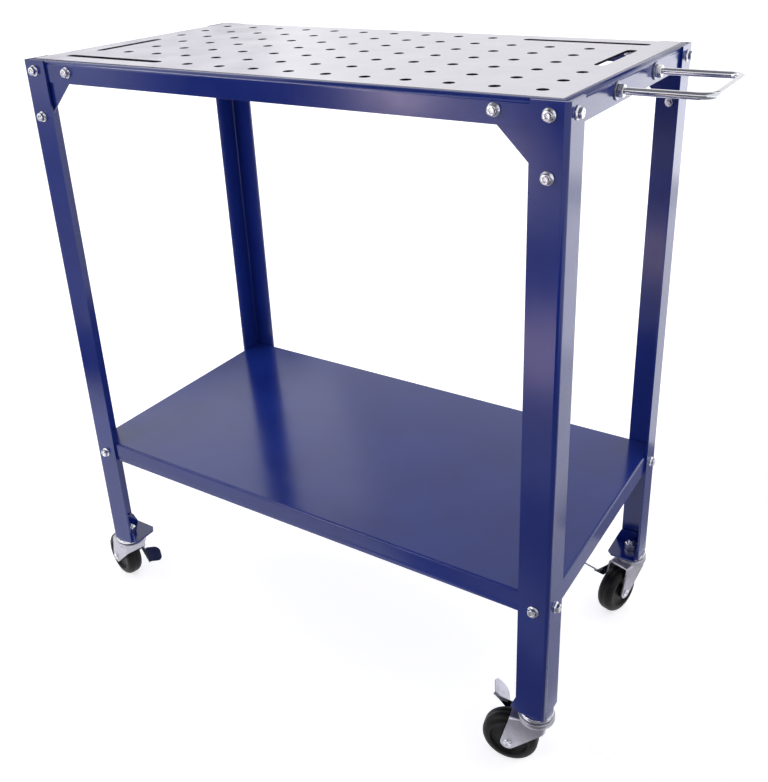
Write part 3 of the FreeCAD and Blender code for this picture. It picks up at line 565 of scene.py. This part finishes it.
def wheel():
    """Moulded wheel: hub, sunk disc, beaded rim and a rounded tread with its mould line."""
    hub, web, half, sweep = ARM_Y - FORK_T - RUN_GAP, WEB_W / 2, WHEEL_W / 2, TREAD_R
    side = [(SLEEVE_R + 0.1, hub - 0.4), (SLEEVE_R + 0.5, hub), (HUB_R - 0.5, hub), (HUB_R, hub - 0.5)]
    side += rounded(HUB_R + 1.2, web + 1.2, 1.2, 180, 270, 4)
    side += rounded(RIM_IN_R - 2.2, web + 1.6, 1.6, 270, 340, 4)
    side += [(RIM_IN_R, half - 1.4), (RIM_IN_R + 0.6, half - 0.3), (RIM_IN_R + 1.3, half)]
    side += rounded(WHEEL_R - sweep, half - sweep, sweep, 90, 0, 12)
    side += [(WHEEL_R, 0.5), (WHEEL_R - 0.15, 0.2)]
    return turned(side + [(r, -y) for r, y in reversed(side)], 96)


def touching(p, centre, r, side):
    """Where a line from p touches a circle in the XZ plane, on one side of it or the other."""
    d = centre - p
    angle = math.atan2(d.z, d.x) + side * math.asin(r / d.length)
    reach = math.sqrt(d.length ** 2 - r ** 2)
    return p + Vector((reach * math.cos(angle), 0, reach * math.sin(angle)))


def brake_lever(turn):
    """Pressed lever: a flat arm beside the fork, bent outward into a foot tab with round corners."""
    tilt = math.radians(TAB_TILT)
    slope = Vector((math.cos(tilt), 0, math.sin(tilt)))
    down = Vector((math.sin(tilt), 0, -math.cos(tilt))) * LEVER_BEND
    pivot = Vector((PIVOT_BACK, -LEVER_Y, PIVOT_Z))
    fold = pivot + Vector((TAB_BACK, 0, TAB_RISE)) + down
    high, low = fold + slope * TAB_HIGH, fold - slope * TAB_LOW
    start, end = touching(low, pivot, LEVER_BOSS_R, 1), touching(high, pivot, LEVER_BOSS_R, -1)
    bm = bmesh.new()
    corners = [bm.verts.new(p) for p in (start, low, high, end)]
    sides = [bm.edges.new(pair) for pair in zip(corners, corners[1:])]
    # the boss runs from one straight side round behind the pivot to the other
    sweep = (start - pivot).angle(end - pivot)
    bmesh.ops.spin(bm, geom=corners[3:], cent=pivot, axis=Y, angle=sweep - math.tau, steps=24)
    hole = bmesh.ops.create_circle(bm, segments=24, radius=PIVOT_R + PIN_PLAY)["verts"]
    bmesh.ops.rotate(bm, verts=hole, cent=(0, 0, 0), matrix=Matrix.Rotation(math.pi / 2, 3, "X"))
    bmesh.ops.translate(bm, verts=hole, vec=pivot)
    bmesh.ops.remove_doubles(bm, verts=bm.verts, dist=0.02)
    bmesh.ops.triangle_fill(bm, edges=bm.edges[:], normal=Y)
    last = swung(bm, [sides[1]], fold - Y * LEVER_BEND, slope, 90, 6)
    last = pushed(bm, last, Y * -(TAB_W + LEVER_T - LEVER_BEND) + slope * TAB_LEAN)
    tips = list({v for e in last for v in e.verts})
    bmesh.ops.bevel(bm, geom=tips, affect="VERTICES", offset=TAB_CORNER, segments=8, profile=0.5, material=-1)
    bmesh.ops.recalc_face_normals(bm, faces=bm.faces)
    # the face that looks up is the one in bright plate, and the one that looks down takes the painted shade
    if sum(f.normal.z for f in bm.faces) < 0:
        bmesh.ops.reverse_faces(bm, faces=bm.faces)
    bmesh.ops.rotate(bm, verts=bm.verts, cent=pivot, matrix=Matrix.Rotation(math.radians(-turn), 3, "Y"))
    return bm


def at_corner(corner):
    """Placement of a caster under its leg, turned to the heading of its trail."""
    sx, sy, trail, _ = CORNERS[corner]
    return (Matrix.Translation((sx * (LEG_X - STEM_IN), sy * (LEG_Y - STEM_IN), 0))
            @ Matrix.Rotation(math.radians(trail), 4, "Z"))


def at_corners(bm):
    """One mesh with a copy at each corner."""
    return gathered([(bm, at_corner(corner)) for corner in CORNERS])


ALONG_AXLE = Matrix.Translation((TRAIL, 0, AXLE_Z)) @ Matrix.Rotation(math.pi / 2, 4, "X")
ALONG_PIVOT = Matrix.Translation((PIVOT_BACK, 0, PIVOT_Z)) @ Matrix.Rotation(math.pi / 2, 4, "X")
ON_BRACKET = Matrix.Translation((0, 0, LEG_FOOT_Z + BRACKET_BASE_T))

piece("caster_studs", at_corners(stem()), "frame", BRIGHT_ZINC, ["caster_stems"])
piece("caster_hex_nuts", at_corners(gathered([(plain_nut(STEM_NUT_AF, STEM_NUT_H, STEM_R), ON_BRACKET)])),
      "frame", BRIGHT_ZINC, ["caster_stem_nuts"])
piece("caster_pressed_races", at_corners(upper_race()), "frame", BRIGHT_ZINC, ["caster_upper_races"])
piece("caster_swivel_balls", at_corners(balls()), "frame", BEARING_STEEL, ["caster_ball_cages"])
for corner, (_, _, _, turn) in CORNERS.items():
    spot = at_corner(corner)
    piece("axle_rivet_" + corner, gathered([(axle(), spot @ ALONG_AXLE)]), "swivel_" + corner, BRIGHT_ZINC,
          ["axle_" + corner])
    piece("pivot_rivet_" + corner, gathered([(brake_pin(), spot @ ALONG_PIVOT)]), "swivel_" + corner,
          BRIGHT_ZINC, ["brake_pin_" + corner])
    piece("moulded_wheel_" + corner, gathered([(wheel(), spot @ ALONG_AXLE)]), "roller_" + corner, BLACK,
          ["wheel_" + corner])
    pedal = piece("pressed_lever_" + corner, gathered([(brake_lever(turn), spot)]), "brake_" + corner,
                  PEDAL_ZINC, ["brake_lever_" + corner])
    # the lever's face that looks down takes the painted shade
    thicken(pedal, LEVER_T, PEDAL_PAINTED_SHADE)
    soften(pedal, PLATE_EDGE)


# ---- CAD nodes that keep their shape ------------------------------------------
def dress(node, mat, edge=0.0):
    """Give a CAD node its finish, and break its sharp edges."""
    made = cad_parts[node]
    for slot in made.material_slots:
        slot.material = mat
    if edge:
        weld = made.modifiers.new("join_triangles", "WELD")
        weld.merge_threshold = 0.01 * MM
        flats = made.modifiers.new("join_flats", "DECIMATE")
        flats.decimate_type = "DISSOLVE"
        flats.angle_limit = math.radians(0.3)
        soften(made, edge)


for node in ("rail_front", "rail_rear", "rail_left", "rail_right", "shelf"):
    dress(node, NAVY, RAIL_EDGE)
dress("table_top", SHEET, FINE_EDGE)
dress("gusset_spacers", BRIGHT_ZINC)
for corner in CORNERS:
    dress("leg_" + corner, NAVY, LEG_EDGE)
    dress("gusset_" + corner, NAVY, PLATE_EDGE)
    dress("foot_bracket_" + corner, NAVY, PLATE_EDGE)
    dress("fork_" + corner, SATIN_ZINC, FINE_EDGE)
    dress("axle_sleeve_" + corner, BRIGHT_ZINC)


# ---- studio, in metres --------------------------------------------------------
FLOOR_Z, FLOOR_R = -TABLE_H * MM, 30.0
UNDER_WHEELS = 0.0002         # of air, so that no wheel sinks in the floor
FLOOR_GLOW = 0.62             # what the lamps leave wanting of the background's white
# heights of the cloths on the floor, so that none lies in the plane of one that it crosses
CLOSE_Z, LOW_Z, HIGH_Z = FLOOR_Z + 0.0001, FLOOR_Z + 0.001, FLOOR_Z + 0.002

SENSOR, LENS = 36.0, 43.58
SHIFT_X, SHIFT_Y = -0.0108, -0.0992
CAMERA_PLACE, CAMERA_TURN = (0.6869, -0.9834, 0.1686), (66.0046, 2.0783, 31.9406)

# direction of the room's dark side, the cosines of the angles off it between which the room dims, and its
# light beyond the first and within the second
DARK_SIDE = Vector((0.35, -0.9, 0.1))
DARK_FROM, DARK_TO = 0.1, 0.8
ROOM_LIGHT, ROOM_DARK = 1.0, 0.85

WHITE, ROSE = "#ffffff", "#ffe4ef"
# lamp: (place, aim, size, radiance, colour), a radiance of 1 being as bright as the white background
LAMPS = {
    "softbox_back_right": ((1.3, 2.0, -0.25), (0.3, 0.0, -0.3), (1.4, 1.0), 1.3, WHITE),
    "strip_back_right": ((0.98, 1.35, -0.79), (0.95, 1.27, 0.0), (0.24, 0.9), 0.65, WHITE),
    "softbox_back_left": ((-2.3, 1.6, 1.3), (0.0, 0.0, -0.5), (1.8, 1.05), 0.6, WHITE),
    "strip_over_front": ((-1.75, -2.15, 0.74), (0.0, -0.1, -0.2), (2.3, 0.34), 6.0, WHITE),
    "strip_front": ((-1.28, -2.6, -0.22), (0.2, -0.2, -0.05), (0.22, 0.78), 8.0, ROSE),
    "strip_floor": ((-0.88, -2.55, -0.77), (0.31, -0.2, -0.1), (0.26, 0.14), 6.0, ROSE),
    "lamp_floor": ((-0.12, -1.32, -0.84), (-0.12, -1.32, 0.0), (0.3, 0.4), 3.0, ROSE),
}

DARK = "#26262b"
# flag: (place, direction that it faces, turn about it in degrees, size, colour). Flags give gloss paint and
# metal something darker to mirror, and those that face up lie on the floor
FLAGS = {
    "cloth_under_camera": ((1.094, -1.638, LOW_Z), Z, 31.9, (3.2, 3.16), "#a4a4aa"),
    "card_middle": ((0.05, -0.93, HIGH_Z), Z, 0.0, (0.4, 0.34), "#f4f4f6"),
    "card_near": ((0.2, -0.48, HIGH_Z), Z, 31.9, (0.3, 0.1), "#e0e0e4"),
    "cloth_front_left": ((-1.1, -0.78, LOW_Z), Z, 0.0, (1.0, 0.24), DARK),
    "cloth_rear_leg": ((-1.0, -0.52, HIGH_Z), Z, 48.0, (0.5, 0.1), DARK),
    "cloth_right_front": ((0.49, 0.08, CLOSE_Z), Z, 0.0, (0.16, 0.42), "#f4f4f6"),
    "cloth_right_rear": ((0.49, 0.46, CLOSE_Z), Z, 0.0, (0.16, 0.34), "#a0a0a6"),
    "cloth_left": ((-2.75, -1.91, LOW_Z), Z, 0.0, (2.9, 1.98), "#c0c0c6"),
    "flag_front_left": ((-2.2, -2.6, -0.2), -Y, 0.0, (1.15, 1.3), DARK),
    "flag_front": ((0.85, -2.9, -0.2), -Y, 0.0, (3.5, 1.3), DARK),
    "ceiling": ((0.2, -1.0, 2.3), -Z, 0.0, (3.6, 4.4), "#8c8c92"),
    "flag_back": ((0.3, 2.6, 1.35), -Y, 0.0, (1.0, 0.9), DARK),
    "flag_back_left": ((-2.7, 2.0, 0.45), Vector((0.8, -0.6, 0.0)), 0.0, (1.5, 0.7), "#8a8a90"),
}


def studio_floor():
    """White floor, shown as bright as the background wherever no shadow falls on it."""
    bm = bmesh.new()
    bmesh.ops.create_circle(bm, cap_ends=True, segments=64, radius=FLOOR_R)
    bmesh.ops.translate(bm, verts=bm.verts, vec=(0, 0, FLOOR_Z - UNDER_WHEELS))
    mesh = bpy.data.meshes.new("studio_floor")
    bm.to_mesh(mesh)
    bm.free()
    floor = bpy.data.objects.new("studio_floor", mesh)
    bpy.context.scene.collection.objects.link(floor)
    mat, tree = new_material("white_studio_floor")
    path = add(tree, "ShaderNodeLightPath")
    seen = add(tree, "ShaderNodeMath", {"operation": "MAXIMUM"}, in0=path.outputs["Is Camera Ray"],
               in1=path.outputs["Is Glossy Ray"])
    seen = add(tree, "ShaderNodeMath", {"operation": "MAXIMUM"}, in0=seen.outputs[0],
               in1=path.outputs["Is Transmission Ray"])
    lift = add(tree, "ShaderNodeMath", {"operation": "MULTIPLY"}, in0=seen.outputs[0], in1=FLOOR_GLOW)
    glow = add(tree, "ShaderNodeEmission", Color=(1, 1, 1, 1), Strength=lift.outputs[0])
    matt = add(tree, "ShaderNodeBsdfDiffuse", Color=colour("#e6e6ea"))
    both = add(tree, "ShaderNodeAddShader", in0=glow.outputs[0], in1=matt.outputs[0])
    add(tree, "ShaderNodeOutputMaterial", Surface=both.outputs[0])
    mesh.materials.append(mat)


def studio_light():
    """Surroundings that are white to the camera and to mirrors but light the table less from the dark side,
    and soft lamps."""
    world = bpy.data.worlds.new("studio")
    bpy.context.scene.world = world
    world.use_nodes = True
    tree = world.node_tree
    tree.nodes.clear()
    path = add(tree, "ShaderNodeLightPath")
    white = add(tree, "ShaderNodeMath", {"operation": "MAXIMUM"}, in0=path.outputs["Is Camera Ray"],
                in1=path.outputs["Is Glossy Ray"])
    white = add(tree, "ShaderNodeMath", {"operation": "MAXIMUM"}, in0=white.outputs[0],
                in1=path.outputs["Is Transmission Ray"])
    direction = add(tree, "ShaderNodeTexCoord").outputs["Generated"]
    # 1 towards the dark side, and below 0 away from it
    side = add(tree, "ShaderNodeVectorMath", {"operation": "DOT_PRODUCT"}, in0=direction,
               in1=DARK_SIDE.normalized())
    dim = add(tree, "ShaderNodeMapRange", {"interpolation_type": "SMOOTHSTEP"}, Value=side.outputs["Value"],
              From_Min=DARK_FROM, From_Max=DARK_TO, To_Min=ROOM_LIGHT, To_Max=ROOM_DARK)
    level = add(tree, "ShaderNodeMix", {"data_type": "FLOAT"}, in0=white.outputs[0],
                in2=dim.outputs["Result"], in3=1.0)
    back = add(tree, "ShaderNodeBackground", Color=(1, 1, 1, 1), Strength=level.outputs[0])
    add(tree, "ShaderNodeOutputWorld", Surface=back.outputs[0])
    for name, (place, aim, (wide, high), radiance, tint) in LAMPS.items():
        light = bpy.data.lights.new(name, "AREA")
        light.shape = "RECTANGLE"
        light.color = colour(tint)[:3]
        light.size, light.size_y = wide, high
        light.energy = radiance * math.pi * wide * high
        lamp = bpy.data.objects.new(name, light)
        bpy.context.scene.collection.objects.link(lamp)
        lamp.location = place
        lamp.rotation_euler = (Vector(aim) - Vector(place)).to_track_quat("-Z", "Y").to_euler()
        lamp.visible_camera = False


def flags():
    """Cards and cloths. The camera sees through those that hang, and sees those that lie on the floor as
    white as the floor, where they throw no shadow."""
    for name, (place, normal, turn, (wide, high), shade) in FLAGS.items():
        mat, tree = new_material(name + "_cloth")
        cloth = add(tree, "ShaderNodeBsdfDiffuse", Color=colour(shade))
        white = add(tree, "ShaderNodeEmission", Color=(1, 1, 1, 1), Strength=1.0)
        seen = add(tree, "ShaderNodeLightPath").outputs["Is Camera Ray"]
        either = add(tree, "ShaderNodeMixShader", in0=seen, in1=cloth.outputs[0], in2=white.outputs[0])
        add(tree, "ShaderNodeOutputMaterial", Surface=either.outputs[0])
        bm = bmesh.new()
        bmesh.ops.create_grid(bm, x_segments=1, y_segments=1, size=0.5)
        bmesh.ops.scale(bm, vec=(wide, high, 1), verts=bm.verts)
        mesh = bpy.data.meshes.new(name)
        bm.to_mesh(mesh)
        bm.free()
        mesh.transform(facing(place, normal) @ Matrix.Rotation(math.radians(turn), 4, "Z"))
        mesh.materials.append(mat)
        flag = bpy.data.objects.new(name, mesh)
        bpy.context.scene.collection.objects.link(flag)
        flag.visible_camera = normal == Z
        flag.visible_shadow = normal != Z


def studio_camera():
    """Camera in front and to the right of the table, looking down on its top."""
    data = bpy.data.cameras.new("camera")
    data.sensor_fit = "HORIZONTAL"
    data.sensor_width = SENSOR
    data.lens = LENS
    data.shift_x, data.shift_y = SHIFT_X, SHIFT_Y
    camera = bpy.data.objects.new("camera", data)
    bpy.context.scene.collection.objects.link(camera)
    camera.location = CAMERA_PLACE
    camera.rotation_euler = [math.radians(a) for a in CAMERA_TURN]
    bpy.context.scene.camera = camera


studio_floor()
studio_light()
flags()
studio_camera()
bpy.context.scene.view_settings.view_transform = "Standard"
